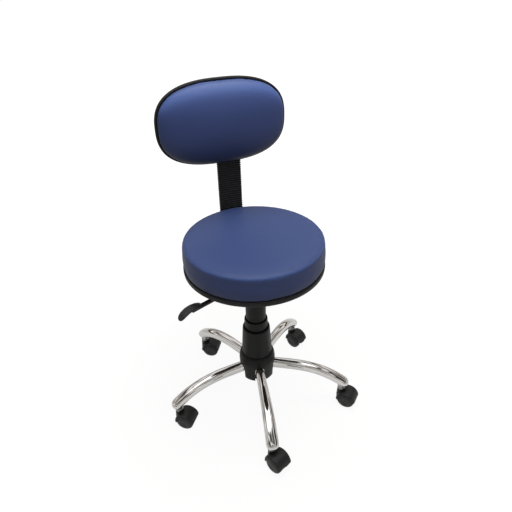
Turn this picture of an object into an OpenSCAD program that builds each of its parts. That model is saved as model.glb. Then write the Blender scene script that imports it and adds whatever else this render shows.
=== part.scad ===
// Laboratory chair: a round upholstered seat with an oval back pad on a steel blade,
// a gas lift under a three-stage sliding cover, and a five-arm base on hooded twin casters.
// The origin is on the floor under the lift's axis, +Z is up and the sitter faces -Y.
// Round pieces are revolved, bars follow a bent path, and the arms, bellows and pads are lofted rings.

/* [Casters] */
// Radius of a caster wheel
wheel_r = 25; // [22:0.5:30]
// Width of one caster wheel
wheel_w = 17; // [13:0.5:21]
// Width of the body between the two wheels
web_w = 14; // [12:0.5:18]
// How far a wheel's outer face domes out from its tread
wheel_dome = 8; // [5:0.5:9]
// Gap between the wheel's tread and the hood
hood_gap = 1.5; // [1.25:0.25:3]
// Wall of the hood
hood_wall = 2.2; // [1.6:0.2:3]
// Rounding of the hood's long edges
hood_round = 7; // [5:0.5:8]
// Distance of the axle behind the stem
caster_trail = 20; // [16:0.5:24]
// Height of the stem's shoulder over the top of the wheels
boss_rise = 8; // [6:0.5:12]
// Radius of the boss round the stem
boss_r = 11; // [9:0.5:13]
// Radius of the stem
stem_r = 5.5; // [4.5:0.25:6]
// Length of the stem above the shoulder
stem_len = 22; // [18:1:26]
// Radius of the axle
axle_r = 3; // [2.5:0.25:4]

/* [Base] */
// Direction of the first arm, seen from above
base_turn = -100.4; // [-180:0.1:180]
// Radius of the circle through the caster stems
stem_circle_r = 250; // [225:1:270]
// How far an arm runs past its caster stem
arm_overhang = 17; // [16:0.5:22]
// Height of the arms' straight part over the casters' shoulders
base_rise = 72; // [66:1:84]
// How far an arm's tip drops below its straight part
arm_drop = 60; // [50:1:64]
// Radius at which the arms start to bend down
arm_bend_r = 90; // [80:1:110]
// Width of an arm at the hub
arm_hub_w = 24; // [20:0.5:27]
// Width of an arm at its tip
arm_tip_w = 35; // [30:0.5:40]
// Height of an arm at the hub
arm_hub_h = 34; // [28:0.5:38]
// Height of an arm at its tip
arm_tip_h = 26; // [23:0.5:32]
// Radius of the steel hub
hub_r = 28; // [27:0.25:31]
// Height of the hub
hub_h = 52; // [44:1:60]
// Radius of the hub's cover at its foot
skirt_r = 48.6; // [46:0.2:50]
// Widest radius of the hub's cover
collar_r = 51.6; // [50.6:0.2:56]
// Height of the upper collar's top over the arms' middle
collar_h = 51; // [44:1:58]
// Wall of the plastic covers
cover_wall = 1.8; // [1.2:0.1:2.2]

/* [Lift] */
// Radius of the stand tube
stand_r = 25; // [24.5:0.1:25.5]
// Length of the stand tube
stand_len = 184; // [165:1:200]
// How far the stand tube shows below the hub
stand_below = 21.5; // [18:0.5:30]
// Radius of the gas cylinder
cylinder_r = 14; // [13:0.25:15]
// Length of the gas cylinder
cylinder_len = 260; // [245:1:280]
// Length of the gas cylinder that stands out of the stand tube at mid lift
lift_out = 198; // [180:1:210]
// Radius of the piston rod
rod_r = 5; // [4:0.25:6]
// Length of the piston rod
rod_len = 211; // [200:1:225]
// Outer radius of the upper sliding cover
upper_cover_r = 28; // [27.5:0.1:28.6]
// Length of the upper sliding cover
upper_cover_len = 185; // [170:1:190]
// Outer radius of the middle sliding cover
middle_cover_r = 32.5; // [32:0.1:33]
// Length of the middle sliding cover
middle_cover_len = 95; // [85:1:100]
// Outer radius of the lower cover at its mouth
lower_cover_r = 38.5; // [37.5:0.1:39.5]
// Height of the lower cover
lower_cover_h = 85; // [80:1:88]
// How far the middle cover shows above the lower one at mid lift
middle_cover_show = 29; // [26:1:34]

/* [Seat] */
// Radius of the round seat
seat_r = 181; // [171:1:190]
// Height of the cushion from its board to the crown
cushion_h = 70; // [60:1:85]
// Radius of the rounded upper edge
cushion_edge_r = 13; // [8:1:20]
// Rise of the crown over the rounded edge
cushion_crown = 2.5; // [1:0.5:8]
// How far the side draws in at its top and foot
cushion_draw = 1.5; // [1:0.25:3]
// Thickness of the cover material
skin_t = 1.2; // [0.8:0.1:2]
// Thickness of the seat board
seat_board_t = 10; // [9:0.5:16]
// Thickness of the edge trim
trim_t = 2.6; // [2:0.1:4]
// How far the trim reaches under the board
trim_lip = 14; // [10:1:20]

/* [Mechanism] */
// Width of the mounting plate
plate_w = 160; // [140:1:180]
// Length of the mounting plate
plate_l = 200; // [180:1:210]
// Thickness of the mounting plate
plate_t = 3; // [2.5:0.25:4]
// Radius of the round cup under the plate
cup_r = 44; // [41:0.5:46]
// Depth of the cup
cup_h = 32; // [28:1:34]
// Radius of the tapered socket's tube
socket_tube_r = 18; // [17:0.25:20]
// Radius of the plate's screws
screw_r = 3; // [2.5:0.25:4]

/* [Lever] */
// Direction of the lever, seen from above
lever_turn = 203; // [190:1:215]
// Distance of the lever's pin from the lift's axis
lever_pivot = 32; // [30:0.5:34]
// Thickness of the lever's flat inner end
lever_flat_t = 3; // [2:0.25:4]
// Width of the lever's flat inner end
lever_flat_w = 12; // [10:0.5:14]
// Radius of the lever's rod
lever_rod_r = 4; // [3:0.25:5]
// How far the rod drops on its way out
lever_drop = 33; // [28:1:40]
// Distance of the handle sleeve's outer end from the lift's axis
sleeve_end = 202; // [194:1:210]
// Length of the handle sleeve
sleeve_len = 90; // [70:1:98]
// Radius of the handle sleeve
sleeve_r = 6; // [5.5:0.25:7]
// Length of the paddle
paddle_l = 69; // [60:1:76]
// Width of the paddle
paddle_w = 18; // [16:0.5:24]
// Thickness of the paddle
paddle_t = 7.5; // [6.5:0.25:9]
// Radius of the arch along the paddle's top
paddle_arch_r = 56; // [50:1:90]

/* [Back support] */
// Width of the steel blade
blade_w = 50; // [44:0.5:54]
// Thickness of the steel blade
blade_t = 6; // [5:0.25:7]
// Distance of the upright blade behind the seat's edge
blade_behind = 15; // [14.5:0.5:24]
// Height of the blade's top over the seat board's underside
blade_up = 305; // [290:1:320]
// Width of the bellows
bellows_w = 65; // [60:0.5:66]
// Depth of the bellows
bellows_d = 20; // [18:0.5:21]
// Number of ribs on the bellows
bellows_ribs = 33; // [20:1:40]
// Depth of a rib's groove
rib_depth = 1.8; // [1:0.1:2.2]
// Length of the blade's clamp
clamp_l = 42; // [38:0.5:44]
// Radius of the clamp's hand knob
knob_r = 17; // [14:0.5:20]

/* [Backrest] */
// Width of the backrest over its trim
back_w = 336; // [310:1:360]
// Height of the backrest over its trim
back_h = 216; // [200:1:230]
// Height of the backrest's middle over the seat board's underside
back_up = 317; // [308:1:325]
// Sideways place of the backrest's middle from the blade
back_shift = -16; // [-20:0.5:20]
// How far the backrest's ends come forward of its middle
back_sag = 6; // [4:0.5:9]
// Thickness of the backrest's board
back_board_t = 8; // [7.5:0.25:10]
// Thickness of the pad in front of the board
pad_t = 32; // [24:1:40]
// Depth of the rear shell
shell_d = 30; // [27:0.5:36]
// Height of the carrier that slides on the blade
carrier_h = 60; // [50:1:64]

/* [Hidden] */
$fn = 64;
arm_count = 5;
// Swivel of each caster from the first arm round, seen from above
caster_turns = [-66, -46, -64, -30, -36];
arm_names = [for (k = [1:arm_count]) str("base_arm_", k)];
housing_names = [for (k = [1:arm_count]) str("caster_housing_", k)];
pin_names = [for (k = [1:arm_count]) str("caster_pins_", k)];
left_wheel_names = [for (k = [1:arm_count]) str("wheel_left_", k)];
right_wheel_names = [for (k = [1:arm_count]) str("wheel_right_", k)];

// Clearances: a running fit, a seat that doesn't move, and a clear gap between covers
fit = 0.05;
seat_gap = 0.1;
clear_gap = 0.3;
// Overrun of every cut past the face it opens
over = 1;

// Casters: heights from the floor
wheel_gap = 0.5;
shoulder_z = 2 * wheel_r + boss_rise;
hood_in_r = wheel_r + hood_gap;
hood_out_r = hood_in_r + hood_wall;
hood_w = web_w + 2 * (wheel_gap + wheel_w);
hood_steps = 4;
hood_front_angle = 180;
hood_back_angle = 8;
boss_flare = 2;
web_r = 20;
stem_depth = 26;
stem_seat_z = shoulder_z - stem_depth;
axle_inset = 2.6;
axle_half = web_w / 2 + wheel_gap + wheel_w - axle_inset;
wheel_edge_r = 2;
wheel_hub_r = 8;
dome_steps = 5;
wheel_cap_r = 10;
wheel_rim_in_share = 0.78;
wheel_dish = 1;
wheel_hollow = 7;

// Base: the arms' centre line and the hub
arm_tip_r = stem_circle_r + arm_overhang;
arm_z = shoulder_z + base_rise;
arm_curve_share = 2.5;
arm_sides = 18;
arm_rings = 15;
arm_end_r = 11;
arm_power_share = 2.3;
arm_end_share = 0.3;
arm_end_angles = [30, 55, 75];
hub_up = 21.5;
hub_top = arm_z + hub_up;
hub_bottom = hub_top - hub_h;
hub_taper = 0.8;
socket_r = 9;
socket_flange_r = 11.5;
socket_flange_t = 2.6;
skirt_drop = 4;
skirt_h = arm_z - hub_bottom + skirt_drop;
skirt_roof_t = 2.4;
arm_slot_gap = 1;
collar_bulge_up = 19;
collar_split_up = 32;
collar_bulge_z = arm_z + collar_bulge_up;
collar_split_z = arm_z + collar_split_up;
collar_top_z = arm_z + collar_h;
collar_top_t = 2.2;
collar_rim_h = 4;
collar_mouth_gap = 1;
cover_spread = 4.4;
shoulder_steps = 6;
lower_foot_r = lower_cover_r + cover_spread;
shoulder_run = collar_r - lower_foot_r;
shoulder_rise = collar_top_z - collar_bulge_z - collar_rim_h;
split_angle = asin((collar_split_z - collar_bulge_z) / shoulder_rise);

// Lift: everything stands on the stand tube's foot
stand_bottom = hub_bottom - stand_below;
stand_top = stand_bottom + stand_len;
stand_wall = 2;
stand_floor_t = 3;
bush_len = 80;
bush_flange_t = 3;
washer_t = 1.2;
washer_r = 12;
ball_r = 2;
ball_count = 9;
bearing_h = 2 * washer_t + 2 * ball_r;
rod_shoulder_r = 8;
rod_shoulder_h = 3;
rod_below = 4;
clip_t = 1.6;
clip_r = 9;
rod_bottom = stand_bottom - rod_below;
piston_h = 10;
cylinder_wall = 1.5;
cylinder_floor_t = 4;
cylinder_head_t = 8;
cylinder_top = stand_top + lift_out;
cylinder_bottom = cylinder_top - cylinder_len;
cone_h = 25;
cone_drop = 1;
button_r = 4;
button_up = 5;
button_dome = 1.2;
button_seat = 6;
button_stem_r = 2.4;
button_stem_len = 14;

// Sliding covers
lower_foot_z = collar_top_z;
lower_top_z = lower_foot_z + lower_cover_h;
middle_top_z = lower_top_z + middle_cover_show;
cover_lip_h = 3;
mouth_rise = 9;
mouth_depth = 5;
mouth_gap = 2;
mouth_steps = 5;
middle_mouth_round = 1;
lower_mouth_round = 2;
cover_flange_r = 34;
cover_flange_t = 2;

// Mechanism: hung from the plate, which rests on the lever over the gas valve
lever_z = cylinder_top + button_up + clear_gap + lever_flat_t / 2;
lever_head_gap = 3.7;
plate_z = lever_z + lever_flat_t / 2 + lever_head_gap;
plate_top = plate_z + plate_t;
plate_corner_r = 14;
cup_wall = 2.5;
cup_z = plate_z - cup_h;
socket_drop = 12;
lug_t = 3;
lug_l = 12;
lug_y = lever_flat_w / 2 + clear_gap + lug_t / 2;
pin_r = 3;
lever_slot_gap = 1;
lever_slot_w = lever_flat_w + 2 * lever_slot_gap;
lever_slot_h = 10;
screw_inset = 20;
screw_x = plate_w / 2 - screw_inset;
screw_y = plate_l / 2 - screw_inset;
screw_head_r = 5.5;
screw_head_t = 4;
screw_short = 2;
screw_len = plate_t + seat_board_t - screw_short;
screw_gap = 0.3;

// Lever: its path in its own upright plane, out from the lift's axis
flat_reach = 6;
rod_gap = 1.5;
rod_start = cup_r + rod_gap;
rod_level_run = 6;
rod_slope_run = 43;
rod_z = lever_z - lever_rod_r + lever_flat_t / 3;
handle_z = rod_z - lever_drop;
rod_tip = 4;
lever_path = [[rod_start, rod_z], [rod_start + rod_level_run, rod_z],
              [rod_start + rod_level_run + rod_slope_run, handle_z], [sleeve_end - rod_tip, handle_z]];
knuckle_r = 4.7;
paddle_lap = 28;
paddle_start = sleeve_end - paddle_lap;
paddle_top_share = 0.38;
paddle_sink = 0.5;
paddle_rise = sleeve_r + paddle_t - paddle_sink;
paddle_corner_r = 3;

// Seat
board_r = seat_r - trim_t - clear_gap;
board_top = plate_top + seat_board_t;
trim_top = board_top - clear_gap;
trim_floor_t = 2;
cushion_foot_z = board_top + clear_gap;
foam_gap = 0.2;
cushion_edge_angle = 80;
cushion_steps = 5;

// Blade and its clamp: the blade lies under the seat board, then turns up behind the seat
clamp_roof = 4.6;
clamp_floor = 4;
clamp_wall = 5;
clamp_y = 56;
blade_gap = 0.35;
blade_z = plate_z - clamp_roof - blade_gap - blade_t / 2;
blade_bend_r = 20;
blade_start_y = 50;
blade_y = seat_r + blade_behind;
blade_top = plate_top + blade_up;
blade_path = [[blade_start_y, blade_z], [blade_y, blade_z], [blade_y, blade_top]];
notch_count = 6;
notch_w = 16;
notch_h = 4;
notch_pitch = 10;
knob_h = 18;
knob_stud_r = 4;
knob_lobes = 6;
knob_groove_r = 8;
knob_groove_out = 4;
knob_neck = 6;
knob_neck_r = 9;
clamp_knob_y = clamp_y + clamp_l / 2;

// Backrest: local depth runs to the rear from the blade's middle plane
back_x = back_shift;
back_z = plate_top + back_up;
back_power_share = 2.62;
outline_points = 48;
board_rear = -6;
board_front = board_rear - back_board_t;
sag_r = (pow(back_w / 2, 2) + pow(back_sag, 2)) / (2 * back_sag);
back_trim_t = 2.5;
back_trim_wall = 3;
back_trim_lip = 6;
pad_trim_gap = 0.6;
pad_inset = back_trim_lip + pad_trim_gap;
pad_gap = 0.4;
pad_rings = 8;
dome_sweep = 88;
pad_side_share = 0.62;
pad_crown_share = 0.8;
shell_inset = 2.5;
shell_wall = 2.5;
carrier_w = 66;
carrier_rear = 8;
carrier_gap = 0.3;
carrier_foot_up = 13;
carrier_bottom = back_z - back_h / 2 + carrier_foot_up;
carrier_ear_w = 12;
carrier_ear_t = 4;
pawl_t = 1;
pawl_w = 20;
pawl_l = 40;
way_side = 2.5;
way_w = bellows_w + 2 * way_side;
way_gap = 0.6;
bellows_lift = 6;
bellows_bottom = blade_z + blade_bend_r + bellows_lift;
bellows_top = carrier_bottom - clear_gap;
bellows_corner_r = 5;
bore_corner_r = 1.2;

// A point at radius r and angle a round (x, y)
function arc(x, y, r, from, to, n) =
    [for (i = [0:n]) [x + r * cos(from + (to - from) * i / n), y + r * sin(from + (to - from) * i / n)]];
// The sign-keeping power that squares off a circle
function squared(c, power) = sign(c) * pow(abs(c), 2 / power);
// A squared-off oval with half axes a and b
function oval(a, b, power, n) =
    [for (i = [0:n - 1]) [a * squared(cos(360 * i / n), power), b * squared(sin(360 * i / n), power)]];
// A rectangle with round corners, as a ring of four points a corner
function round_box(w, d, r) = concat(
    arc(w / 2 - r, d / 2 - r, r, 0, 90, 2), arc(r - w / 2, d / 2 - r, r, 90, 180, 2),
    arc(r - w / 2, r - d / 2, r, 180, 270, 2), arc(w / 2 - r, r - d / 2, r, 270, 360, 2));

// The strips that close a ring which mirrors itself about its first point
function strips(n) = concat(
    [[0, 1, n - 1]], [for (i = [1:n / 2 - 2]) [i, i + 1, n - i - 1, n - i]],
    [[n / 2 - 1, n / 2, n / 2 + 1]]);

// A closed skin over rings of equal, even count
module loft(rings) {
    n = len(rings[0]);
    last = len(rings) - 1;
    polyhedron(
        points = [for (ring = rings) for (p = ring) p],
        faces = concat(
            strips(n),
            [for (k = [0:last - 1]) for (i = [0:n - 1])
                [k * n + i, (k + 1) * n + i, (k + 1) * n + (i + 1) % n]],
            [for (k = [0:last - 1]) for (i = [0:n - 1])
                [k * n + i, (k + 1) * n + (i + 1) % n, k * n + (i + 1) % n]],
            [for (s = strips(n)) [for (i = [len(s) - 1:-1:0]) last * n + s[i]]]));
}

// A skin over rings that closes on itself, as a tube with a bore does
module loft_loop(rings) {
    n = len(rings[0]);
    count = len(rings);
    polyhedron(
        points = [for (ring = rings) for (p = ring) p],
        faces = concat(
            [for (k = [0:count - 1]) for (i = [0:n - 1])
                [k * n + i, ((k + 1) % count) * n + i, ((k + 1) % count) * n + (i + 1) % n]],
            [for (k = [0:count - 1]) for (i = [0:n - 1])
                [k * n + i, ((k + 1) % count) * n + (i + 1) % n, k * n + (i + 1) % n]]));
}

// A bar of the section given as children, along a path in the XZ plane with round bends
module bent_bar(path, bend_r) {
    last = len(path) - 1;
    function heading(i) = atan2(path[i + 1][1] - path[i][1], path[i + 1][0] - path[i][0]);
    function turn(i) = i == 0 || i == last ? 0 : heading(i) - heading(i - 1);
    function cut(i) = bend_r * abs(tan(turn(i) / 2));
    for (i = [0:last - 1]) {
        reach = norm(path[i + 1] - path[i]);
        translate([path[i][0], 0, path[i][1]]) rotate([0, 90 - heading(i), 0])
            translate([0, 0, cut(i)]) linear_extrude(reach - cut(i) - cut(i + 1)) children();
    }
    for (i = [1:last - 1]) {
        side = sign(turn(i));
        in_dir = [cos(heading(i - 1)), sin(heading(i - 1))];
        start = path[i] - cut(i) * in_dir;
        centre = start + side * bend_r * [-in_dir[1], in_dir[0]];
        translate([centre[0], 0, centre[1]])
            rotate([90, 0, 0]) rotate([0, 0, heading(i - 1) - side * 90])
            rotate([0, 0, side < 0 ? turn(i) : 0])
            rotate_extrude(angle = abs(turn(i))) translate([bend_r, 0]) children();
    }
}

// A round bar along a path in the XZ plane, with ball corners a little proud of it
module round_bar(path, r) {
    last = len(path) - 1;
    for (i = [0:last - 1]) {
        step = path[i + 1] - path[i];
        translate([path[i][0], 0, path[i][1]]) rotate([0, 90 - atan2(step[1], step[0]), 0])
            cylinder(h = norm(step), r = r);
    }
    for (i = [1:last - 1]) translate([path[i][0], 0, path[i][1]]) sphere(r = r + fit);
}

// A tube about Z from z0 to z1
module ring(r_out, r_in, z0, z1) {
    rotate_extrude() translate([r_in, z0]) square([r_out - r_in, z1 - z0]);
}

// Puts its children at the stem of caster k, along that caster's swivel
module at_stem(k) {
    rotate([0, 0, base_turn + k * 360 / arm_count]) translate([stem_circle_r, 0, 0])
        rotate([0, 0, caster_turns[k] - base_turn - k * 360 / arm_count]) children();
}

// The hood's section over both wheels, with its radius along X and the axle along Y
module hood_section() {
    rim = hood_out_r - hood_round;
    side = hood_w / 2 - hood_round;
    inner = hood_round - hood_wall;
    polygon(concat(
        arc(rim, -side, hood_round, -90, 0, hood_steps), arc(rim, side, hood_round, 0, 90, hood_steps),
        arc(rim, side, inner, 90, 0, hood_steps), arc(rim, -side, inner, 0, -90, hood_steps)));
}

// Casters
module caster_housing(k) {
    color("#202123") at_stem(k) difference() {
        union() {
            rotate([90, 0, 0]) translate([caster_trail, wheel_r, -web_w / 2])
                cylinder(h = web_w, r = web_r);
            intersection() {
                rotate([90, 0, 0]) translate([caster_trail, wheel_r, -web_w / 2])
                    cylinder(h = web_w, r = hood_out_r);
                translate([-hood_out_r, -web_w / 2, wheel_r])
                    cube([hood_out_r + caster_trail, web_w, hood_out_r]);
            }
            rotate([90, 0, 0]) translate([caster_trail, wheel_r, 0]) rotate([0, 0, hood_back_angle])
                rotate_extrude(angle = hood_front_angle - hood_back_angle) hood_section();
            translate([0, 0, stem_seat_z]) cylinder(h = shoulder_z - stem_seat_z, r = web_w / 2);
            difference() {
                translate([0, 0, wheel_r])
                    cylinder(h = shoulder_z - wheel_r, r1 = boss_r + boss_flare, r2 = boss_r);
                rotate([90, 0, 0]) translate([caster_trail, wheel_r, -hood_w])
                    cylinder(h = 2 * hood_w, r = hood_in_r);
            }
        }
        rotate([90, 0, 0]) translate([caster_trail, wheel_r, -hood_w / 2])
            cylinder(h = hood_w, r = axle_r + fit);
        translate([0, 0, stem_seat_z + clear_gap]) cylinder(h = stem_len + shoulder_z, r = stem_r + fit);
    }
}

module caster_pins(k) {
    color("#b8bbc0") at_stem(k) {
        translate([0, 0, stem_seat_z + 2 * clear_gap]) {
            cylinder(h = shoulder_z + stem_len - stem_r / 4 - stem_seat_z - 2 * clear_gap, r = stem_r);
            translate([0, 0, shoulder_z + stem_len - stem_r / 4 - stem_seat_z - 2 * clear_gap])
                cylinder(h = stem_r / 4, r1 = stem_r, r2 = 3 / 4 * stem_r);
        }
        rotate([90, 0, 0]) translate([caster_trail, wheel_r, -axle_half])
            cylinder(h = 2 * axle_half, r = axle_r);
    }
}

// One wheel, revolved about its axle: a domed outer face with a dished cap, and a hollow back
module caster_wheel(k, side) {
    rim_in = wheel_r * wheel_rim_in_share;
    profile = concat(
        [[axle_r + fit, 0], [wheel_hub_r, 0], [wheel_hub_r, wheel_hollow],
         [rim_in, wheel_hollow], [rim_in, 0]],
        arc(wheel_r - wheel_edge_r, wheel_edge_r, wheel_edge_r, -90, 0, 3),
        [for (i = [0:dome_steps]) let (t = 90 * i / dome_steps)
            [wheel_cap_r + (wheel_r - wheel_cap_r) * cos(t), wheel_w - wheel_dome * (1 - sin(t))]],
        [[wheel_hub_r, wheel_w - wheel_dish], [0, wheel_w - wheel_dish],
         [0, axle_half - web_w / 2 - wheel_gap + clear_gap],
         [axle_r + fit, axle_half - web_w / 2 - wheel_gap + clear_gap]]);
    color("#2a2b2e") at_stem(k) translate([caster_trail, 0, wheel_r]) rotate([-side * 90, 0, 0])
        translate([0, 0, web_w / 2 + wheel_gap]) rotate_extrude() polygon(profile);
}

// Base
function arm_height(r) =
    arm_z - arm_drop * pow(max(0, (r - arm_bend_r) / (arm_tip_r - arm_bend_r)), arm_curve_share);
function arm_slope(r) = atan2(arm_height(r + over) - arm_height(r - over), 2 * over);
// The share of the section that is left inside the rounded end
function end_share(r) = r <= arm_tip_r - arm_end_r ? 1
    : sqrt(max(0, 1 - pow((r - arm_tip_r + arm_end_r) / arm_end_r, 2)));
function arm_ring(r) =
    let (along = (r - hub_r) / (arm_tip_r - hub_r), tilt = arm_slope(r),
         left = max(end_share(r), arm_end_share),
         w = (arm_hub_w + (arm_tip_w - arm_hub_w) * along) / 2 * left,
         h = (arm_hub_h + (arm_tip_h - arm_hub_h) * along) / 2 * left)
    [for (p = oval(w, h, arm_power_share, arm_sides))
        [r - p[1] * sin(tilt), p[0], arm_height(r) + p[1] * cos(tilt)]];
function arm_stations() = concat(
    [hub_r / 2, arm_bend_r],
    [for (i = [1:arm_rings]) arm_bend_r + (arm_tip_r - arm_end_r - arm_bend_r) * i / arm_rings],
    [for (a = arm_end_angles) arm_tip_r - arm_end_r + arm_end_r * sin(a)]);

module base_arm(k) {
    color("#c9ccd1") rotate([0, 0, base_turn + k * 360 / arm_count]) difference() {
        loft([for (r = arm_stations()) arm_ring(r)]);
        translate([0, 0, arm_z - arm_hub_h]) cylinder(h = 2 * arm_hub_h, r = hub_r + seat_gap);
        translate([stem_circle_r, 0, 0])
            cylinder(h = shoulder_z + stem_len + 2 * clear_gap + seat_gap, r = socket_r + seat_gap);
    }
}

module caster_sockets() {
    color("#aeb1b6") for (k = [0:arm_count - 1])
        rotate([0, 0, base_turn + k * 360 / arm_count]) translate([stem_circle_r, 0, 0]) difference() {
            union() {
                translate([0, 0, shoulder_z + clear_gap]) cylinder(h = stem_len + clear_gap, r = socket_r);
                translate([0, 0, shoulder_z + clear_gap]) cylinder(h = socket_flange_t, r = socket_flange_r);
            }
            cylinder(h = shoulder_z + stem_len + clear_gap, r = stem_r + fit);
        }
}

// The arched slots, open below, that the hub's cover leaves for the arms
module arm_ways() {
    way_r = arm_hub_w / 2 + arm_slot_gap + arm_slot_gap / 2;
    arch_z = arm_z + arm_hub_h / 2 + arm_slot_gap - way_r;
    for (k = [0:arm_count - 1]) rotate([0, 0, base_turn + k * 360 / arm_count])
        translate([hub_r, 0, arch_z]) rotate([90, 0, 90]) linear_extrude(collar_r) {
            circle(r = way_r);
            translate([-way_r, -arch_z]) square([2 * way_r, arch_z]);
        }
}

// The hub cover's and collar's shoulder, from the angle a to b of its round
function shoulder(inset, a, b) = [for (i = [0:shoulder_steps]) let (t = a + (b - a) * i / shoulder_steps)
    [lower_foot_r - inset + shoulder_run * cos(t), collar_bulge_z + shoulder_rise * sin(t)]];

module hub_tube() {
    color("#8d9095") difference() {
        translate([0, 0, hub_bottom]) cylinder(h = hub_h, r = hub_r);
        translate([0, 0, hub_bottom]) cylinder(h = hub_h, r1 = stand_r - hub_taper + fit, r2 = stand_r + fit);
    }
}

module hub_skirt() {
    foot = arm_z - skirt_h;
    inside = shoulder(cover_wall, 0, split_angle);
    color("#232427") {
        difference() {
            rotate_extrude() polygon(concat(
                [[skirt_r - cover_wall, foot], [skirt_r, foot]], shoulder(0, 0, split_angle),
                [for (i = [len(inside) - 1:-1:0]) inside[i]]));
            arm_ways();
        }
        ring(collar_r - cover_wall / 2, stand_r + seat_gap, hub_top + seat_gap,
            hub_top + seat_gap + skirt_roof_t);
    }
}

module column_collar() {
    inside = shoulder(cover_wall, split_angle, 90);
    mouth_r = cover_flange_r + collar_mouth_gap;
    color("#232427") translate([0, 0, clear_gap]) rotate_extrude() polygon(concat(
        shoulder(0, split_angle, 90),
        [[lower_foot_r, collar_top_z - clear_gap], [mouth_r, collar_top_z - clear_gap],
         [mouth_r, collar_top_z - collar_top_t], [lower_foot_r - cover_wall, collar_top_z - collar_top_t]],
        [for (i = [len(inside) - 1:-1:0]) inside[i]]));
}

// Lift
module stand_tube() {
    color("#2b2c2f") difference() {
        union() {
            translate([0, 0, stand_bottom]) cylinder(h = stand_below, r = stand_r - hub_taper);
            translate([0, 0, hub_bottom]) cylinder(h = hub_h, r1 = stand_r - hub_taper, r2 = stand_r);
            translate([0, 0, hub_top]) cylinder(h = stand_top - hub_top, r = stand_r);
        }
        translate([0, 0, stand_bottom + stand_floor_t])
            cylinder(h = stand_len, r = stand_r - hub_taper - stand_wall);
        translate([0, 0, stand_bottom - over]) cylinder(h = stand_len, r = rod_r + clear_gap);
    }
}

module guide_bush() {
    bush_r = stand_r - hub_taper - stand_wall - fit;
    color("#e6e4dc") rotate_extrude() polygon([
        [cylinder_r + fit, stand_top - bush_len], [bush_r, stand_top - bush_len], [bush_r, stand_top],
        [stand_r, stand_top], [stand_r, stand_top + bush_flange_t],
        [cylinder_r + fit, stand_top + bush_flange_t]]);
}

module thrust_bearing() {
    z = stand_bottom + stand_floor_t;
    color("#9fa3a8") {
        ring(washer_r, rod_r + clear_gap, z, z + washer_t);
        ring(washer_r, rod_r + clear_gap, z + bearing_h - washer_t, z + bearing_h);
        for (i = [0:ball_count - 1]) rotate([0, 0, i * 360 / ball_count])
            translate([(washer_r + rod_r) / 2, 0, z + bearing_h / 2]) sphere(r = ball_r - fit);
    }
}

module piston_rod() {
    shoulder = stand_bottom + stand_floor_t + bearing_h + fit;
    color("#d4d6d9") {
        translate([0, 0, rod_bottom]) cylinder(h = rod_len - piston_h, r = rod_r);
        translate([0, 0, shoulder]) cylinder(h = rod_shoulder_h, r = rod_shoulder_r);
        translate([0, 0, rod_bottom + rod_len - piston_h])
            cylinder(h = piston_h, r = cylinder_r - cylinder_wall - fit);
    }
}

module retaining_clip() {
    color("#55585c") ring(clip_r, rod_r + fit, stand_bottom - clip_t - clear_gap, stand_bottom - clear_gap);
}

module gas_cylinder() {
    color("#1c1d1f") difference() {
        union() {
            translate([0, 0, cylinder_bottom]) cylinder(h = cylinder_len - cone_h, r = cylinder_r);
            translate([0, 0, cylinder_top - cone_h])
                cylinder(h = cone_h, r1 = cylinder_r, r2 = cylinder_r - cone_drop);
        }
        translate([0, 0, cylinder_bottom + cylinder_floor_t])
            cylinder(h = cylinder_len - cylinder_floor_t - cylinder_head_t, r = cylinder_r - cylinder_wall);
        translate([0, 0, cylinder_bottom - over])
            cylinder(h = cylinder_floor_t + 2 * over, r = rod_r + fit);
        translate([0, 0, cylinder_top - button_seat])
            cylinder(h = button_seat + over, r = button_r + fit);
        translate([0, 0, cylinder_top - cylinder_head_t - over])
            cylinder(h = cylinder_head_t, r = button_stem_r + fit);
    }
}

module valve_button() {
    dome_r = (pow(button_r, 2) + pow(button_dome, 2)) / (2 * button_dome);
    head_z = cylinder_top - over;
    color("#c0392b") {
        intersection() {
            translate([0, 0, head_z]) cylinder(h = button_up + over, r = button_r);
            translate([0, 0, cylinder_top + button_up - dome_r]) sphere(r = dome_r);
        }
        translate([0, 0, head_z - button_stem_len + over])
            cylinder(h = button_stem_len - over, r = button_stem_r);
    }
}

// A sliding cover: a tapered tube with a rounded mouth, and a lip in it that guides the tube it holds
module sliding_cover(foot_r, top_r, foot, top, held_r, mouth_round) {
    lip = top - mouth_depth;
    color("#252629") rotate_extrude() polygon(concat(
        [[foot_r - cover_wall, foot], [foot_r, foot]],
        [for (i = [0:mouth_steps]) let (t = 90 * i / mouth_steps)
            [top_r - mouth_round * (1 - cos(t)), top - mouth_rise * (1 - sin(t))]],
        [[held_r + clear_gap + mouth_gap, top], [held_r + clear_gap + mouth_gap, lip],
         [held_r + clear_gap, lip], [held_r + clear_gap, lip - cover_lip_h],
         [top_r - cover_wall, lip - cover_lip_h]]));
}

// The lower cover stands on the collar, and the others hang on each other
module cover_lower() {
    sliding_cover(lower_foot_r, lower_cover_r, lower_foot_z, lower_top_z,
        middle_cover_r, lower_mouth_round);
}

module cover_middle() {
    sliding_cover(middle_cover_r, middle_cover_r, middle_top_z - middle_cover_len, middle_top_z,
        upper_cover_r, middle_mouth_round);
}

module cover_upper() {
    top = cup_z - seat_gap;
    color("#252629") {
        ring(upper_cover_r, upper_cover_r - cover_wall, top - upper_cover_len, top);
        ring(cover_flange_r, socket_tube_r + seat_gap, top - cover_flange_t, top);
    }
}

// Mechanism
module at_lever() {
    rotate([0, 0, lever_turn]) children();
}

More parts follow.
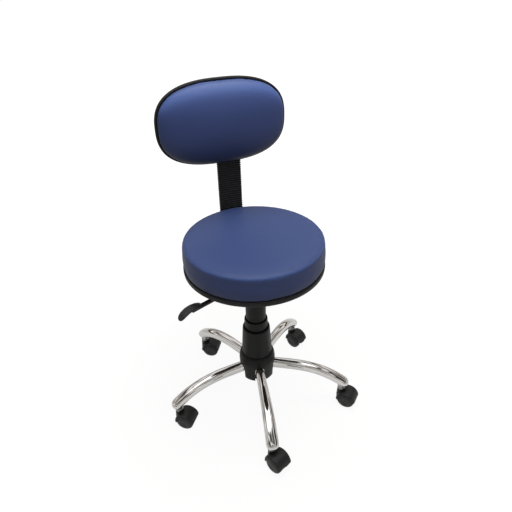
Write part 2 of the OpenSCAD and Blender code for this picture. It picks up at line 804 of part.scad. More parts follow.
module seat_plate() {
    socket_top = cylinder_top - clear_gap;
    color("#2a2b2e") difference() {
        union() {
            translate([0, 0, plate_z]) linear_extrude(plate_t) {
                square([plate_w - 2 * plate_corner_r, plate_l], center = true);
                square([plate_w, plate_l - 2 * plate_corner_r], center = true);
                for (x = [-1, 1]) for (y = [-1, 1])
                    translate([x * (plate_w / 2 - plate_corner_r), y * (plate_l / 2 - plate_corner_r)])
                        circle(r = plate_corner_r);
            }
            difference() {
                ring(cup_r, cup_r - cup_wall, cup_z, plate_z);
                at_lever() translate([0, -lever_slot_w / 2, plate_z - lever_slot_h])
                    cube([2 * cup_r, lever_slot_w, lever_slot_h]);
            }
            ring(cup_r, socket_tube_r - over, cup_z, cup_z + plate_t);
            translate([0, 0, cup_z - socket_drop])
                cylinder(h = socket_top - cup_z + socket_drop, r = socket_tube_r);
            at_lever() for (side = [-1, 1])
                translate([lever_pivot - lug_l / 2, side * lug_y - lug_t / 2, cup_z + over])
                    cube([lug_l, lug_t, cup_h - over]);
        }
        translate([0, 0, cup_z - socket_drop - over])
            cylinder(h = cylinder_top - cone_h - cup_z + socket_drop + over, r = cylinder_r + fit);
        translate([0, 0, cylinder_top - cone_h])
            cylinder(h = cone_h, r1 = cylinder_r + fit, r2 = cylinder_r - cone_drop + fit);
        at_lever() translate([lever_pivot, lever_flat_w + lug_t, lever_z]) rotate([90, 0, 0])
            cylinder(h = 2 * (lever_flat_w + lug_t), r = pin_r + fit);
        for (x = [-1, 1]) for (y = [-1, 1]) translate([x * screw_x, y * screw_y, plate_z - over])
            cylinder(h = plate_t + 2 * over, r = screw_r + screw_gap);
    }
}

module plate_screws() {
    color("#8f9297") for (x = [-1, 1]) for (y = [-1, 1]) translate([x * screw_x, y * screw_y, 0]) {
        translate([0, 0, plate_z - screw_head_t]) cylinder(h = screw_head_t, r = screw_head_r, $fn = 6);
        translate([0, 0, plate_z]) cylinder(h = screw_len, r = screw_r);
    }
}

module lever_pin() {
    half = lug_y + lug_t / 2;
    color("#b4b7bb") at_lever() translate([lever_pivot, half, lever_z]) rotate([90, 0, 0])
        cylinder(h = 2 * half, r = pin_r);
}

// A flat inner end over the gas valve, a knuckle round the pin, and a bent rod to the handle
module lever_rod() {
    color("#3a3b3e") at_lever() difference() {
        union() {
            translate([-flat_reach, -lever_flat_w / 2, lever_z - lever_flat_t / 2])
                cube([rod_start + rod_level_run / 2 + flat_reach, lever_flat_w, lever_flat_t]);
            translate([lever_pivot, lever_flat_w / 2, lever_z]) rotate([90, 0, 0])
                cylinder(h = lever_flat_w, r = knuckle_r);
            round_bar(lever_path, lever_rod_r);
        }
        translate([lever_pivot, lever_flat_w, lever_z]) rotate([90, 0, 0])
            cylinder(h = 2 * lever_flat_w, r = pin_r + fit);
    }
}

// The paddle's outline from above: square at the sleeve and round at its tip
module paddle_outline() {
    half = paddle_w / 2;
    straight = paddle_l - half;
    translate([paddle_corner_r, -half]) square([straight - paddle_corner_r, paddle_w]);
    translate([0, paddle_corner_r - half]) square([straight, paddle_w - 2 * paddle_corner_r]);
    for (side = [-1, 1]) translate([paddle_corner_r, side * (half - paddle_corner_r)])
        circle(r = paddle_corner_r);
    translate([straight, 0]) circle(r = half);
}

// A moulded sleeve on the rod with an arched paddle that droops beyond its outer end
module lever_handle() {
    arch_x = paddle_start + paddle_l * paddle_top_share;
    color("#1f2022") at_lever() difference() {
        union() {
            translate([sleeve_end - sleeve_len, 0, handle_z]) rotate([0, 90, 0])
                cylinder(h = sleeve_len, r = sleeve_r);
            intersection() {
                translate([paddle_start, 0, handle_z + paddle_rise - paddle_arch_r])
                    linear_extrude(paddle_arch_r + over) paddle_outline();
                translate([arch_x, paddle_w, handle_z + paddle_rise - paddle_arch_r]) rotate([90, 0, 0])
                    difference() {
                        cylinder(h = 2 * paddle_w, r = paddle_arch_r, $fn = 128);
                        translate([0, 0, -over])
                            cylinder(h = 2 * (paddle_w + over), r = paddle_arch_r - paddle_t, $fn = 128);
                    }
            }
        }
        translate([sleeve_end - sleeve_len - over, 0, handle_z]) rotate([0, 90, 0])
            cylinder(h = sleeve_len - rod_tip + over + fit, r = lever_rod_r + fit);
    }
}

// Blade and clamp
module blade_clamp() {
    depth = clamp_roof + blade_t + 2 * blade_gap + clamp_floor;
    width = blade_w + 2 * blade_gap + 2 * clamp_wall;
    color("#2a2b2e") difference() {
        translate([-width / 2, clamp_y, plate_z - depth]) cube([width, clamp_l, depth]);
        translate([-blade_w / 2 - blade_gap, clamp_y - over, plate_z - depth + clamp_floor])
            cube([blade_w + 2 * blade_gap, clamp_l + 2 * over, blade_t + 2 * blade_gap]);
        translate([0, clamp_knob_y, plate_z - depth - over])
            cylinder(h = clamp_floor + 2 * over, r = knob_stud_r + fit);
    }
}

module clamp_knob() {
    top = plate_z - clamp_roof - blade_t - 2 * blade_gap - clamp_floor - clear_gap;
    color("#1f2022") translate([0, clamp_knob_y, 0]) {
        difference() {
            translate([0, 0, top - knob_neck - knob_h]) cylinder(h = knob_h, r = knob_r);
            for (i = [0:knob_lobes - 1]) rotate([0, 0, (i + 1 / 2) * 360 / knob_lobes])
                translate([knob_r + knob_groove_out, 0, top - knob_neck - knob_h - over])
                cylinder(h = knob_h + 2 * over, r = knob_groove_r);
        }
        translate([0, 0, top - knob_neck]) cylinder(h = knob_neck, r = knob_neck_r);
        translate([0, 0, top]) cylinder(h = clamp_floor + 2 * clear_gap, r = knob_stud_r);
    }
}

module back_blade() {
    color("#2c2d30") difference() {
        rotate([0, 0, 90]) bent_bar(blade_path, blade_bend_r) square([blade_t, blade_w], center = true);
        for (i = [0:notch_count - 1])
            translate([-notch_w / 2, blade_y - blade_t, blade_top - notch_pitch * (i + 1) - notch_h])
                cube([notch_w, 2 * blade_t, notch_h]);
    }
}

// A ribbed sleeve round the blade: two rings a rib outside, a plain bore inside
module back_bellows() {
    pitch = (bellows_top - bellows_bottom) / bellows_ribs;
    crest = round_box(bellows_w, bellows_d, bellows_corner_r);
    groove = round_box(bellows_w - 2 * rib_depth, bellows_d - 2 * rib_depth,
        bellows_corner_r - rib_depth / 2);
    bore = round_box(blade_w + 2 * blade_gap, blade_t + 2 * blade_gap, bore_corner_r);
    outside = [for (i = [0:2 * bellows_ribs]) let (z = bellows_bottom + pitch * i / 2)
        [for (p = i % 2 == 0 ? groove : crest) [p[0], blade_y + p[1], z]]];
    inside = [for (z = [bellows_top, bellows_bottom]) [for (p = bore) [p[0], blade_y + p[1], z]]];
    color("#1d1e20") loft_loop(concat(outside, inside));
}

// Backrest, drawn with its depth along Y from the blade's middle plane
module at_back() {
    translate([back_x, blade_y, back_z]) children();
}

// A plate of the backrest's outline, bent round the sitter, between two depths
module back_plate(inset, front, rear) {
    intersection() {
        translate([0, rear + over, 0]) rotate([90, 0, 0]) linear_extrude(rear - front + back_sag + 2 * over)
            polygon(oval(back_w / 2 - inset, back_h / 2 - inset, back_power_share, outline_points));
        translate([0, front - sag_r, -back_h]) difference() {
            cylinder(h = 2 * back_h, r = sag_r + rear - front, $fn = 180);
            translate([0, 0, -over]) cylinder(h = 2 * (back_h + over), r = sag_r, $fn = 180);
        }
    }
}

// The depth at which a plate of the given front lies at width u
function bent_back(u) = -back_sag * pow(u / (back_w / 2), 2);

// One ring of a dome: the outline shrunk by a share s, at depth h, bent round the sitter
function dome_ring(inset, s, h) =
    [for (p = oval((back_w / 2 - inset) * s, (back_h / 2 - inset) * s, back_power_share, outline_points))
        [p[0], h + bent_back(p[0]), p[1]]];

// A domed pad or shell that grows from its rim by the given height, forward or to the rear,
// with a straight foot the other way
module dome(inset, rim, height, foot) {
    rings = concat(
        foot == 0 ? [] : [dome_ring(inset, 1, rim + foot)],
        [for (k = [0:pad_rings]) let (a = dome_sweep * k / pad_rings)
            dome_ring(inset, pow(cos(a), pad_side_share), rim + height * pow(sin(a), pad_crown_share))]);
    if (height > 0) loft([for (ring = rings) [for (i = [len(ring):-1:1]) ring[i % len(ring)]]]);
    else loft(rings);
}

// The way that the bellows and the blade take into the backrest from below
module blade_way(top) {
    translate([-way_w / 2 - back_x, -bellows_d / 2 - way_gap, -back_h])
        cube([way_w, bellows_d + 2 * way_gap + over, back_h + top - back_z]);
}

module ratchet_carrier() {
    color("#2f3033") translate([0, blade_y, carrier_bottom]) difference() {
        union() {
            translate([-carrier_w / 2, board_rear, 0])
                cube([carrier_w, carrier_rear - board_rear, carrier_h]);
            translate([-carrier_w / 2 - carrier_ear_w, board_rear, carrier_h / 6])
                cube([carrier_w + 2 * carrier_ear_w, carrier_ear_t, carrier_h * 2 / 3]);
        }
        translate([-blade_w / 2 - carrier_gap, -blade_t / 2 - carrier_gap, -over])
            cube([blade_w + 2 * carrier_gap, blade_t + 2 * carrier_gap, carrier_h + 2 * over]);
        translate([-pawl_w / 2 - fit, blade_t / 2, (carrier_h - pawl_l) / 2])
            cube([pawl_w + 2 * fit, 3 * pawl_t + carrier_gap, pawl_l]);
        for (x = [-1, 1]) for (z = [1 / 3, 2 / 3])
            translate([x * (carrier_w + carrier_ear_w) / 2, board_rear - over, carrier_h * z])
            rotate([-90, 0, 0]) cylinder(h = carrier_ear_t + 2 * over, r = screw_r / 2 + screw_gap);
    }
}

// A spring strip in the carrier, bowed towards the blade's notches
module ratchet_pawl() {
    near = blade_t / 2 + clear_gap;
    z = carrier_bottom + (carrier_h - pawl_l) / 2 + clear_gap;
    length = pawl_l - 2 * clear_gap;
    bow_r = (pow(length / 2, 2) + pow(2 * pawl_t, 2)) / (4 * pawl_t);
    color("#a7aaae") intersection() {
        translate([-pawl_w / 2, blade_y + near, z]) cube([pawl_w, 3 * pawl_t, length]);
        translate([-pawl_w / 2, blade_y + near + bow_r, z + length / 2]) rotate([0, 90, 0]) difference() {
            cylinder(h = pawl_w, r = bow_r);
            translate([0, 0, -over]) cylinder(h = pawl_w + 2 * over, r = bow_r - pawl_t);
        }
    }
}

module back_board() {
    color("#3a3b3d") at_back() difference() {
        back_plate(back_trim_wall + seat_gap, board_front, board_rear);
        blade_way(carrier_bottom);
    }
}

module back_trim() {
    color("#1b1c1e") at_back() difference() {
        back_plate(0, board_front - back_trim_t, board_rear + back_trim_t);
        back_plate(back_trim_wall, board_front - seat_gap, board_rear + seat_gap);
        translate([0, back_h, 0]) rotate([90, 0, 0]) linear_extrude(2 * back_h)
            polygon(oval(back_w / 2 - back_trim_lip, back_h / 2 - back_trim_lip,
                back_power_share, outline_points));
        blade_way(carrier_bottom);
    }
}

module back_cover() {
    color("#45588c") at_back() difference() {
        dome(pad_inset, board_front - pad_gap, -pad_t, 0);
        dome(pad_inset + skin_t, board_front - pad_gap, skin_t - pad_t, over);
    }
}

module back_foam() {
    color("#d8cfa8") at_back()
        dome(pad_inset + skin_t + foam_gap, board_front - pad_gap, skin_t + foam_gap - pad_t, 0);
}

module back_shell() {
    rim = board_rear + back_trim_t + 2 * seat_gap;
    color("#222326") at_back() difference() {
        dome(shell_inset, rim, shell_d, 0);
        dome(shell_inset + shell_wall, rim, shell_d - shell_wall, -over);
        blade_way(carrier_bottom);
    }
}

module back_screws() {
    color("#8f9297") for (x = [-1, 1]) for (z = [1 / 3, 2 / 3])
        translate([x * (carrier_w + carrier_ear_w) / 2, blade_y + board_rear + carrier_ear_t,
            carrier_bottom + carrier_h * z])
        rotate([90, 0, 0]) {
            cylinder(h = carrier_ear_t, r = screw_r / 2);
            translate([0, 0, -screw_r]) cylinder(h = screw_r, r = screw_r);
        }
}

// Seat
module seat_board() {
    color("#c6a878") difference() {
        translate([0, 0, plate_top]) cylinder(h = seat_board_t, r = board_r, $fn = 180);
        for (x = [-1, 1]) for (y = [-1, 1]) translate([x * screw_x, y * screw_y, plate_top - over])
            cylinder(h = screw_len - plate_t + 2 * over, r = screw_r + screw_gap);
    }
}

module seat_trim() {
    color("#1b1c1e") rotate_extrude($fn = 180) polygon([
        [board_r - trim_lip, plate_top - trim_floor_t], [seat_r, plate_top - trim_floor_t],
        [seat_r, trim_top], [seat_r - trim_t, trim_top], [seat_r - trim_t, plate_top],
        [board_r - trim_lip, plate_top]]);
}

// The cushion's half section: a side that bulges, a round edge and a crown, all drawn in by the inset
function cushion_section(inset) =
    let (side_top = board_top + cushion_h - cushion_crown - cushion_edge_r,
         edge_x = seat_r - cushion_draw - cushion_edge_r,
         edge_r = cushion_edge_r - inset, lift = cushion_edge_angle,
         crown_x = edge_x + edge_r * cos(lift), crown_z = side_top + edge_r * sin(lift),
         top = board_top + cushion_h - inset)
    concat(
        [for (i = [0:cushion_steps]) let (t = i / cushion_steps)
            [seat_r - inset - cushion_draw * pow(2 * t - 1, 2),
             cushion_foot_z + (side_top - cushion_foot_z) * t]],
        arc(edge_x, side_top, edge_r, lift / (cushion_steps + 1), lift, cushion_steps),
        [for (i = [1:cushion_steps]) let (t = 1 - i / cushion_steps)
            [crown_x * t, top - (top - crown_z) * t * t]]);

module seat_cover() {
    outside = cushion_section(0);
    inside = cushion_section(skin_t);
    color("#45588c") rotate_extrude($fn = 180)
        polygon(concat(outside, [for (i = [len(inside) - 1:-1:0]) inside[i]]));
}

module seat_foam() {
    color("#d8cfa8") rotate_extrude($fn = 180)
        polygon(concat([[0, cushion_foot_z]], cushion_section(skin_t + foam_gap)));
}

hub_tube();
caster_sockets();
hub_skirt();
column_collar();
stand_tube();
guide_bush();
cover_lower();
cover_middle();
cover_upper();
piston_rod();
thrust_bearing();
retaining_clip();
gas_cylinder();
valve_button();
seat_plate();
plate_screws();
lever_pin();
lever_rod();
lever_handle();
blade_clamp();
clamp_knob();
seat_board();
seat_foam();
seat_cover();
seat_trim();
back_blade();
back_bellows();
ratchet_carrier();
ratchet_pawl();
back_board();
back_foam();
back_cover();
back_trim();
back_shell();
back_screws();
for (k = [0:arm_count - 1]) {
    base_arm(k);
    caster_housing(k);
    caster_pins(k);
    caster_wheel(k, 1);
    caster_wheel(k, -1);
}
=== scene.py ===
import math

import bmesh
import bpy
from mathutils import Matrix, Vector


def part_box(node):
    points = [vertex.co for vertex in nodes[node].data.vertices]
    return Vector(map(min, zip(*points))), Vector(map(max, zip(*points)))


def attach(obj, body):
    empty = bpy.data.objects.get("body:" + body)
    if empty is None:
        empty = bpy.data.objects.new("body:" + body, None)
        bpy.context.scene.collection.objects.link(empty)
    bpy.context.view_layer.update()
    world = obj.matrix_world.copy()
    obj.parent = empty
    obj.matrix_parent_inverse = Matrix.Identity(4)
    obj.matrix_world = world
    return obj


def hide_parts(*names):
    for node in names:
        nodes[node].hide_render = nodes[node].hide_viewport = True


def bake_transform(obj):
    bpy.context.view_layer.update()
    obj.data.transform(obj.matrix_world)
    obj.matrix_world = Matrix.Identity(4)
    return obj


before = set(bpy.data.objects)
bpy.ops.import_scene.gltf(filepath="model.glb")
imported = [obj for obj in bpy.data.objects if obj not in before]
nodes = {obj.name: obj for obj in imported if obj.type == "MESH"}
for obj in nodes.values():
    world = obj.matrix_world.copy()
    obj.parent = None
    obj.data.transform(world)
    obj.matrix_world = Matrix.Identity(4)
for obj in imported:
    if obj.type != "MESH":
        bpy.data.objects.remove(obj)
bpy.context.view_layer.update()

# The photograph's view, from the front, a little from the side and from above.
# The lens and place come from the seat's rim, the arms, the casters and the backrest.
view_turn = math.radians(-18.0)
view_tilt = math.radians(32.84)
view_roll = math.radians(1.69)
view_reach = 1.25764
view_target = Vector((0.00492, -0.00157, 0.49649))
view_back = Vector((math.sin(view_turn) * math.cos(view_tilt),
                    -math.cos(view_turn) * math.cos(view_tilt), math.sin(view_tilt)))
level_right = Vector((math.cos(view_turn), math.sin(view_turn), 0.0))
level_up = view_back.cross(level_right)
view_right = math.cos(view_roll) * level_right - math.sin(view_roll) * level_up
view_up = math.sin(view_roll) * level_right + math.cos(view_roll) * level_up
camera_data = bpy.data.cameras.new("photo_view")
camera_data.lens = 34.67
camera_data.sensor_width = 36.0
camera = bpy.data.objects.new("photo_view", camera_data)
bpy.context.scene.collection.objects.link(camera)
camera.matrix_world = (Matrix.Translation(view_target + view_reach * view_back)
                       @ Matrix((view_right, view_up, view_back)).transposed().to_4x4())
bpy.context.scene.camera = camera

# Five base arms: oval steel tube, bent down towards the casters, closed and rounded at the tips,
# welded to the hub and polished under chrome. The plating shows faint smudges and a warm tint.
arm_count = 5
first_arm = math.radians(-100.4)
arm_step = 2 * math.pi / arm_count
arm_root = 0.0265
arm_taper_start = 0.028
arm_straight = 0.060
arm_bend = 0.090
arm_tip = 0.267
arm_round = 0.011
arm_round_turns = (25, 45, 62, 76, 86)
arm_height = 0.130
arm_drop = 0.060
arm_curve = 2.5
arm_root_w = 0.024
arm_w_gain = 0.011
arm_root_h = 0.034
arm_h_loss = 0.008
arm_power = 2.3
arm_points = 20
arm_steps = 14
arm_probe = 0.001


def add_node(tree, kind, values=None, **settings):
    """Adds a node with its settings and the plain values of its inputs."""
    node = tree.nodes.new(kind)
    for name, value in settings.items():
        setattr(node, name, value)
    for socket, value in (values or {}).items():
        node.inputs[socket].default_value = value
    return node


def wire(tree, *links):
    """Links each output of a node to an input of another."""
    for source, output, target, socket in links:
        tree.links.new(source.outputs[output], target.inputs[socket])


def finish_mesh(shape, name, material, body, replaced):
    """Turns a bmesh into a piece that rides on a body and stands for CAD nodes."""
    mesh = bpy.data.meshes.new(name)
    shape.to_mesh(mesh)
    shape.free()
    piece = bpy.data.objects.new(name, mesh)
    bpy.context.scene.collection.objects.link(piece)
    mesh.materials.append(material)
    for face in mesh.polygons:
        face.use_smooth = True
    if body:
        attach(piece, body)
    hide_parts(*replaced)
    return piece


def draw_out(shape, edges, stages):
    """Extrudes a closed loop from stage to stage, each a matrix that places the same unit loop."""
    for before, after in zip(stages, stages[1:]):
        step = bmesh.ops.extrude_edge_only(shape, edges=edges)
        verts = [part for part in step["geom"] if isinstance(part, bmesh.types.BMVert)]
        fresh = set(verts)
        edges = [part for part in step["geom"]
                 if isinstance(part, bmesh.types.BMEdge) and all(v in fresh for v in part.verts)]
        bmesh.ops.transform(shape, matrix=after @ before.inverted(), verts=verts)
    return edges


def squared_loop(shape, power, count, matrix):
    """A unit circle in the XY plane squared off by a power, then placed by a matrix."""
    loop = bmesh.ops.create_circle(shape, segments=count, radius=1.0)
    for vert in loop["verts"]:
        vert.co.x = math.copysign(abs(vert.co.x) ** (2 / power), vert.co.x)
        vert.co.y = math.copysign(abs(vert.co.y) ** (2 / power), vert.co.y)
    bmesh.ops.transform(shape, matrix=matrix, verts=loop["verts"])
    fresh = set(loop["verts"])
    return [edge for edge in shape.edges if edge.verts[0] in fresh and edge.verts[1] in fresh]


def fill_loop(shape, edges):
    """Closes a loop of edges with one face."""
    return bmesh.ops.contextual_create(shape, geom=edges)["faces"]


def face_outwards(shape):
    """Recalculates the normals of a closed shape."""
    bmesh.ops.recalc_face_normals(shape, faces=shape.faces[:])


# The shared surface effect: a broad tone that drifts over the piece and a fine grain for the bump.
surface_effect = bpy.data.node_groups.new("tone and grain", "ShaderNodeTree")
surface_effect.interface.new_socket("Tone Scale", in_out="INPUT", socket_type="NodeSocketFloat")
surface_effect.interface.new_socket("Grain Scale", in_out="INPUT", socket_type="NodeSocketFloat")
surface_effect.interface.new_socket("Tone", in_out="OUTPUT", socket_type="NodeSocketFloat")
surface_effect.interface.new_socket("Grain", in_out="OUTPUT", socket_type="NodeSocketFloat")
effect_in = add_node(surface_effect, "NodeGroupInput")
effect_out = add_node(surface_effect, "NodeGroupOutput")
effect_place = add_node(surface_effect, "ShaderNodeTexCoord")
for source, target, detail in (("Tone Scale", "Tone", 4.0), ("Grain Scale", "Grain", 2.0)):
    noise = add_node(surface_effect, "ShaderNodeTexNoise", {"Detail": detail})
    wire(surface_effect, (effect_place, "Object", noise, "Vector"), (effect_in, source, noise, "Scale"),
         (noise, "Fac", effect_out, target))
tone_low = 0.3
tone_high = 0.7


def varied_material(name, colour, roughness, tone_scale, grain_scale, rough, tint, bump=0.0, depth=0.0,
                    metallic=0.0, sheen=0.5):
    """A Principled material whose roughness, colour and bump follow the shared effect.

    Its plain values stay on the shader's own sockets. Rough and tint are (low, high) pairs.
    """
    material = bpy.data.materials.new(name)
    material.use_nodes = True
    tree = material.node_tree
    shader = tree.nodes["Principled BSDF"]
    shader.inputs["Base Color"].default_value = (*colour, 1.0)
    shader.inputs["Roughness"].default_value = roughness
    shader.inputs["Metallic"].default_value = metallic
    shader.inputs["Specular IOR Level"].default_value = sheen
    effect = add_node(tree, "ShaderNodeGroup", node_tree=surface_effect)
    effect.inputs["Tone Scale"].default_value = tone_scale
    effect.inputs["Grain Scale"].default_value = grain_scale
    rough_range = add_node(tree, "ShaderNodeMapRange", {"From Min": tone_low, "From Max": tone_high,
                                                        "To Min": rough[0], "To Max": rough[1]})
    tones = add_node(tree, "ShaderNodeMix", data_type="RGBA")
    tones.inputs["A"].default_value = (*tint[0], 1.0)
    tones.inputs["B"].default_value = (*tint[1], 1.0)
    wire(tree, (effect, "Tone", rough_range, "Value"), (rough_range, "Result", shader, "Roughness"),
         (effect, "Tone", tones, "Factor"), (tones, "Result", shader, "Base Color"))
    if bump:
        relief = add_node(tree, "ShaderNodeBump", {"Strength": bump, "Distance": depth})
        wire(tree, (effect, "Grain", relief, "Height"), (relief, "Normal", shader, "Normal"))
    return material


polished_chrome = varied_material(
    "polished chrome", (0.8, 0.79, 0.78), 0.08, tone_scale=14.0, grain_scale=900.0,
    rough=(0.04, 0.1), tint=((0.82, 0.8, 0.77), (0.9, 0.89, 0.88)), metallic=1.0)


def arm_level(r):
    """Height of an arm's middle line at distance r from the lift's axis."""
    return arm_height - arm_drop * max(0.0, (r - arm_bend) / (arm_tip - arm_bend)) ** arm_curve


def arm_stage(r, left):
    """The frame of an arm's oval section at distance r, shrunk to what is left of it near the tip."""
    along = (r - arm_taper_start) / (arm_tip - arm_taper_start)
    slope = math.atan2(arm_level(r + arm_probe) - arm_level(r - arm_probe), 2 * arm_probe)
    half_w = left * (arm_root_w + arm_w_gain * along) / 2
    half_h = left * (arm_root_h - arm_h_loss * along) / 2
    return (Matrix.Translation((r, 0.0, arm_level(r))) @ Matrix.Rotation(-slope, 4, "Y")
            @ Matrix.Diagonal((1.0, half_w, half_h, 1.0)))


stations = [(arm_root, 1.0), (arm_straight, 1.0)]
stations += [(arm_bend + (arm_tip - arm_round - arm_bend) * step / arm_steps, 1.0)
             for step in range(arm_steps + 1)]
for turn in arm_round_turns:
    a = math.radians(turn)
    stations.append((arm_tip - arm_round + arm_round * math.sin(a), math.cos(a)))
for k in range(arm_count):
    arm = bmesh.new()
    stages = [arm_stage(r, left) for r, left in stations]
    upright = Matrix.Rotation(math.radians(90), 4, "Y")
    root_loop = squared_loop(arm, arm_power, arm_points, stages[0] @ upright)
    tip_loop = draw_out(arm, root_loop, stages)
    fill_loop(arm, root_loop)
    fill_loop(arm, tip_loop)
    face_outwards(arm)
    bmesh.ops.rotate(arm, verts=arm.verts[:], cent=(0, 0, 0),
                     matrix=Matrix.Rotation(first_arm + k * arm_step, 3, "Z"))
    piece = finish_mesh(arm, "arm_tube_%d" % (k + 1), polished_chrome, "base",
                        ["base_arm_%d" % (k + 1)])
    smooth = piece.modifiers.new("smooth", "SUBSURF")
    smooth.levels = 2
    smooth.render_levels = 2

# Hub tube and caster sockets: turned steel. The hub is welded to the arms and taper-bored for the
# stand tube, and the zinc-plated sockets are pressed up into the arms' tips.
ground_steel = varied_material(
    "ground steel", (0.55, 0.55, 0.56), 0.3, tone_scale=40.0, grain_scale=2500.0,
    rough=(0.22, 0.38), tint=((0.46, 0.46, 0.47), (0.62, 0.62, 0.63)), bump=0.05, depth=0.0002,
    metallic=1.0)
zinc_plate = varied_material(
    "zinc plate", (0.6, 0.6, 0.6), 0.3, tone_scale=60.0, grain_scale=1800.0,
    rough=(0.24, 0.42), tint=((0.52, 0.52, 0.51), (0.68, 0.68, 0.69)), bump=0.04, depth=0.0002, metallic=1.0)


def dress(names, material):
    """Gives CAD nodes a material and leaves their shape alone."""
    for name in names:
        nodes[name].data.materials.clear()
        nodes[name].data.materials.append(material)


dress(["hub_tube"], ground_steel)
dress(["caster_sockets"], zinc_plate)

# Five casters: a black moulded housing with a hood over two black nylon wheels, a steel stem that clicks
# into the socket, and a steel axle pressed through the housing.
numbers = range(1, arm_count + 1)
caster_black = varied_material(
    "caster nylon", (0.021, 0.021, 0.021), 0.42, tone_scale=18.0, grain_scale=1500.0,
    rough=(0.34, 0.48), tint=((0.016, 0.016, 0.016), (0.027, 0.027, 0.027)), bump=0.12, depth=0.0002,
    sheen=0.35)
wheel_black = varied_material(
    "wheel nylon", (0.025, 0.025, 0.026), 0.36, tone_scale=30.0, grain_scale=1200.0,
    rough=(0.28, 0.46), tint=((0.02, 0.02, 0.021), (0.036, 0.036, 0.037)), bump=0.1, depth=0.0002,
    sheen=0.4)
dress(["caster_housing_%d" % k for k in numbers], caster_black)
dress(["caster_pins_%d" % k for k in numbers], zinc_plate)
dress(["wheel_%s_%d" % (side, k) for k in numbers for side in ("left", "right")], wheel_black)

# Hub cover and collar: two black mouldings. The cover drops over the hub and its five arched slots
# straddle the arms, and the collar closes it round the sliding covers.
moulded_black = varied_material(
    "moulded black plastic", (0.007, 0.007, 0.007), 0.42, tone_scale=18.0, grain_scale=1500.0,
    rough=(0.34, 0.48), tint=((0.005, 0.005, 0.005), (0.01, 0.01, 0.01)), bump=0.12, depth=0.0002,
    sheen=0.25)
dress(["hub_skirt", "column_collar"], moulded_black)

# Lift: a black stand tube in the hub, an acetal guide bush, a chromed piston rod on a ball thrust
# bearing with a spring clip, and a black gas cylinder with a red valve button in its cone.
satin_black = varied_material(
    "black powder coat", (0.012, 0.012, 0.012), 0.38, tone_scale=22.0, grain_scale=2200.0,
    rough=(0.3, 0.44), tint=((0.01, 0.01, 0.01), (0.017, 0.017, 0.018)), bump=0.15, depth=0.0001, sheen=0.4)
white_acetal = varied_material(
    "white acetal", (0.76, 0.75, 0.7), 0.4, tone_scale=30.0, grain_scale=900.0,
    rough=(0.34, 0.5), tint=((0.7, 0.69, 0.63), (0.8, 0.79, 0.75)), bump=0.05, depth=0.0002)
red_plastic = varied_material(
    "red button plastic", (0.45, 0.03, 0.02), 0.35, tone_scale=90.0, grain_scale=900.0,
    rough=(0.3, 0.42), tint=((0.4, 0.022, 0.015), (0.5, 0.035, 0.025)), bump=0.05, depth=0.0001)
dress(["stand_tube", "gas_cylinder"], satin_black)
dress(["guide_bush"], white_acetal)
dress(["piston_rod"], polished_chrome)
dress(["thrust_bearing"], ground_steel)
dress(["retaining_clip"], zinc_plate)
dress(["valve_button"], red_plastic)

# Sliding covers: three black polypropylene tubes that nest in each other and hide the lift at any
# height.
dress(["cover_lower", "cover_middle", "cover_upper"], moulded_black)

# Seat mechanism: a pressed and welded black plate with a round cup and tapered socket, its four hexagon
# screws, and the lever's steel pin.
dress(["seat_plate"], satin_black)
dress(["plate_screws", "lever_pin"], zinc_plate)

# Height lever: a bent black steel rod, and pushed over its end a black moulded sleeve with an arched
# paddle that thins and rounds off towards its tip.
dress(["lever_rod"], satin_black)
lever_angle = 203
lever_turn = Matrix.Rotation(math.radians(lever_angle), 4, "Z")
grip_end = 0.202
grip_len = 0.090
grip_r = 0.006
grip_power = 2.0
handle_z = 0.4308
paddle_start = 0.174
arch_x = 0.2002
arch_r = 0.056
arch_rise = 0.013
arch_z = handle_z + arch_rise - arch_r
paddle_half_t = 0.00375
paddle_power = 3.0
paddle_root = math.degrees(math.asin((paddle_start - arch_x) / (arch_r - paddle_half_t)))
handle_points = 24
# The grip's sections: share of its length from the end, share of its radius.
grip_sections = ((0.0, 0.6), (0.004, 0.85), (0.015, 1.0), (0.3, 1.0), (0.98, 1.0), (0.995, 0.9),
                 (1.0, 0.78))
# The paddle's sections: angle on the arch, half width, half thickness.
paddle_sections = (
    (paddle_root, 0.0094, 0.0026), (paddle_root + 0.6, 0.0102, 0.0034),
    (paddle_root + 2.5, 0.0106, paddle_half_t), (-15, 0.0110, paddle_half_t), (0, 0.0114, paddle_half_t),
    (15, 0.0118, 0.0037), (28, 0.0116, 0.0035), (36, 0.0108, 0.0031), (42, 0.0092, 0.0026),
    (46, 0.0068, 0.0019), (48, 0.0042, 0.0012), (48.8, 0.0018, 0.0006))


def handle_stage(s, z, turn, half_w, half_t):
    """A section of the handle at reach s and height z, its plane turned with the arch."""
    return (lever_turn @ Matrix.Translation((s, 0.0, z)) @ Matrix.Rotation(math.radians(90 + turn), 4, "Y")
            @ Matrix.Rotation(math.radians(90), 4, "Z") @ Matrix.Diagonal((half_w, half_t, 1.0, 1.0)))


def paddle_stage(turn, half_w, half_t):
    """A section of the paddle at an angle of its arch from the top."""
    lean = math.radians(turn)
    middle_r = arch_r - paddle_half_t
    return handle_stage(arch_x + middle_r * math.sin(lean), arch_z + middle_r * math.cos(lean), turn,
                        half_w, half_t)


handle = bmesh.new()
grip_stages = [handle_stage(grip_end - grip_len * share, handle_z, 0.0, grip_r * left, grip_r * left)
               for share, left in grip_sections]
paddle_stages = [paddle_stage(*section) for section in paddle_sections]
for power, stages in ((grip_power, grip_stages), (paddle_power, paddle_stages)):
    near_loop = squared_loop(handle, power, handle_points, stages[0])
    far_loop = draw_out(handle, near_loop, stages)
    fill_loop(handle, near_loop)
    fill_loop(handle, far_loop)
face_outwards(handle)
finish_mesh(handle, "handle_grip", caster_black, "lever", ["lever_handle"])

